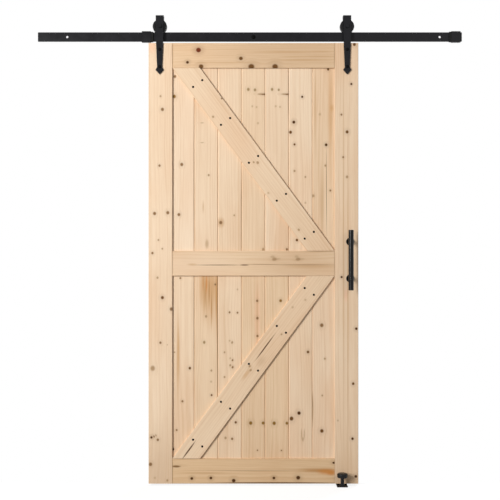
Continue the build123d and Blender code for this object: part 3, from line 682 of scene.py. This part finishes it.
# %% A maker of turned fasteners
CORNERS = 48
SHARP = radians(35)
TINY = 1e-6


def circle(radius):
    """A round outline."""
    return lambda angle: radius


def hexagon(across):
    """A six-sided outline, so wide across its flats."""
    return lambda angle: across / 2 / cos((angle + pi / 6) % (pi / 3) - pi / 6)


def cross(reach, half_width):
    """A cross, as a driver cuts it."""

    def outline(angle):
        c, s = abs(cos(angle)) + TINY, abs(sin(angle)) + TINY
        return max(min(reach / c, half_width / s), min(reach / s, half_width / c))

    return outline


def fasteners(name, outlines, places, facing, body):
    """One mesh of equal fasteners. Each outline has its height in mm above the place."""
    shape = bmesh.new()
    turn = Vector((0, 0, 1)).rotation_difference(Vector(facing)).to_matrix()
    for place in places:
        loops = []
        for height, outline in outlines:
            corners = [(outline(tau * n / CORNERS), tau * n / CORNERS) for n in range(CORNERS)]
            points = [Vector((r * cos(a), r * sin(a), height)) * MM for r, a in corners]
            loops.append([shape.verts.new(Vector(place) + turn @ p) for p in points])
        for below, above in zip(loops, loops[1:]):
            for n in range(CORNERS):
                after = (n + 1) % CORNERS
                shape.faces.new((below[n], below[after], above[after], above[n]))
        shape.faces.new(reversed(loops[0]))
        shape.faces.new(loops[-1])
    mesh = bpy.data.meshes.new(name)
    shape.to_mesh(mesh)
    shape.free()
    mesh.shade_smooth()
    mesh.set_sharp_from_angle(angle=SHARP)
    mesh.materials.append(phosphate)
    piece = bpy.data.objects.new(name, mesh)
    bpy.context.collection.objects.link(piece)
    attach(piece, body)
    print(name, len(places), "of", len(mesh.polygons) // len(places), "faces")


# %% [markdown]
# Low button-headed lag bolts hold the track to the wall through its three spacers. Their heads
# stay thin, because the straps pass in front of them.

# %% Track bolts
TO_ROOM, TO_WALL, UP, DOWN = (0, -1, 0), (0, 1, 0), (0, 0, 1), (0, 0, -1)
track_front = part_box("track")[0].y
spacers = [(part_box(n)[0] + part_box(n)[1]) / 2 for n in nodes if n.startswith("wall_spacer")]
LAG_BOLT = [(-2.0, circle(5.2)), (0.0, circle(5.2)), (0.0, circle(9.6)), (0.4, circle(10.0)),
            (1.1, circle(10.0)), (1.4, circle(9.6)), (1.4, circle(8.4)), (2.8, circle(8.1)),
            (4.0, circle(7.0)), (4.8, circle(5.2)), (5.1, circle(3.8)), (5.1, hexagon(6.0)),
            (2.6, hexagon(5.8))]
fasteners("track_bolts", LAG_BOLT, [(s.x, track_front, s.z) for s in spacers], TO_ROOM, "wall_track")

# %% [markdown]
# Two coach bolts hold each strap: a low dome in front, and a washer and nut behind the stile. Their
# places are the holes of strap and stile, so far below the slab's top.

# %% Coach bolts
HANGER_X = 454 * MM
BOLT_DROPS = (31.5 * MM, 115.0 * MM)
strap_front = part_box("hanger_strap_left")[0].y
slab_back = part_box("rail_top")[1].y
slab_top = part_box("stile_left")[1].z
strap_bolts = [(side * HANGER_X, slab_top - drop) for side in (-1, 1) for drop in BOLT_DROPS]
DOME_HEAD = [(-3.0, circle(4.0)), (0.0, circle(4.0)), (0.0, circle(7.8)), (0.5, circle(8.1)),
             (1.6, circle(7.5)), (2.6, circle(6.0)), (3.3, circle(3.8)), (3.6, circle(1.6))]
WASHER_AND_NUT = [(-3.0, circle(4.0)), (0.0, circle(4.0)), (0.0, circle(10.6)), (0.3, circle(11.0)),
                  (1.3, circle(11.0)), (1.6, circle(10.6)), (1.6, circle(6.3)), (2.2, hexagon(13.0)),
                  (7.2, hexagon(13.0)), (7.8, circle(6.2)), (7.8, circle(3.9)), (9.6, circle(3.9)),
                  (10.3, circle(3.2))]
fasteners("coach_bolt_heads", DOME_HEAD, [(x, strap_front, z) for x, z in strap_bolts], TO_ROOM, "door")
fasteners("coach_bolt_nuts", WASHER_AND_NUT, [(x, slab_back, z) for x, z in strap_bolts], TO_WALL, "door")

# %% [markdown]
# The braces are fixed with five pairs of black screws, which show as dark dots in the photograph.
# Their heads are countersunk with a low domed rim. Pairs stand square to the brace, so their places
# are worked out along its slope.

# %% Brace screws
SCREW_PITCH, PAIR_SPACING = 228 * MM, 55 * MM
RAISED_HEAD = [(-8.0, circle(1.9)), (-2.8, circle(2.0)), (-0.1, circle(4.2)), (0.02, circle(4.3)),
               (0.02, circle(5.4)), (0.4, circle(5.3)), (1.0, circle(4.4)), (1.3, circle(3.2)),
               (1.3, cross(2.6, 0.65)), (-1.0, cross(1.5, 0.45))]
for half, lean in (("upper", -1), ("lower", 1)):
    low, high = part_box("brace_" + half)
    middle = (low + high) / 2
    along = Vector((sin(BRACE_LEAN), 0, lean * cos(BRACE_LEAN)))
    beside = Vector((along.z, 0, -along.x))
    spots = [middle + along * (SCREW_PITCH * n) + beside * (PAIR_SPACING / 2 * side)
             for n in range(-2, 3) for side in (-1, 1)]
    fasteners("brace_screws_" + half, RAISED_HEAD, [(p.x, low.y, p.z) for p in spots], TO_ROOM, "door")

# %% [markdown]
# The rest is small. Grub screws clamp the stops from below, pan-headed screws hold the handle from
# behind the stile, and two countersunk screws hold the guide's plate to the floor.

# %% Stop, handle and guide screws
GRUB_REACH, GUIDE_SCREW_REACH, PLATE_THICKNESS = 11 * MM, 10 * MM, 3.5 * MM
GRUB_SCREW = [(-3.6, circle(2.7)), (-0.8, circle(2.7)), (-0.4, circle(2.4)), (-0.4, hexagon(3.0)),
              (-2.4, hexagon(2.8))]
PAN_HEAD = [(-2.0, circle(2.9)), (0.0, circle(2.9)), (0.0, circle(7.6)), (0.3, circle(8.0)),
            (0.9, circle(8.0)), (1.2, circle(7.6)), (1.2, circle(5.4)), (2.2, circle(5.2)),
            (3.2, circle(4.3)), (3.7, circle(3.2)), (3.7, cross(2.4, 0.6)), (1.9, cross(1.4, 0.4))]
SUNK_HEAD = [(-3.3, circle(2.4)), (-2.8, circle(2.4)), (-0.6, circle(4.6)), (-0.3, circle(4.6)),
             (-0.2, circle(4.2)), (-0.2, cross(2.8, 0.7)), (-1.8, cross(1.6, 0.5))]

stops = [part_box(n) for n in ("stop_left", "stop_right")]
track_middle = (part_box("track")[0].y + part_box("track")[1].y) / 2
grub_places = [((low.x + high.x) / 2 + side * GRUB_REACH, track_middle, low.z)
               for low, high in stops for side in (-1, 1)]
fasteners("stop_grub_screws", GRUB_SCREW, grub_places, DOWN, "wall_track")

posts = [(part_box(n)[0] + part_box(n)[1]) / 2 for n in ("handle_post_upper", "handle_post_lower")]
fasteners("handle_screws", PAN_HEAD, [(p.x, slab_back, p.z) for p in posts], TO_WALL, "door")

plate_low, plate_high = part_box("guide_base")
plate_middle, plate_top = (plate_low.x + plate_high.x) / 2, plate_low.z + PLATE_THICKNESS
slab_middle_y = (slab_front + slab_back) / 2
guide_places = [(plate_middle, slab_middle_y + side * GUIDE_SCREW_REACH, plate_top) for side in (-1, 1)]
fasteners("guide_screws", SUNK_HEAD, guide_places, UP, "wall_track")

# %% [markdown]
# ## The dressed box
# Dressing must not change the size of the door, so the dressed box is printed here, to set against
# the solids' box printed at the start.

# %% Print the dressed box
dressed_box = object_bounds()
print("dressed box", short(dressed_box[0]), "to", short(dressed_box[1]))
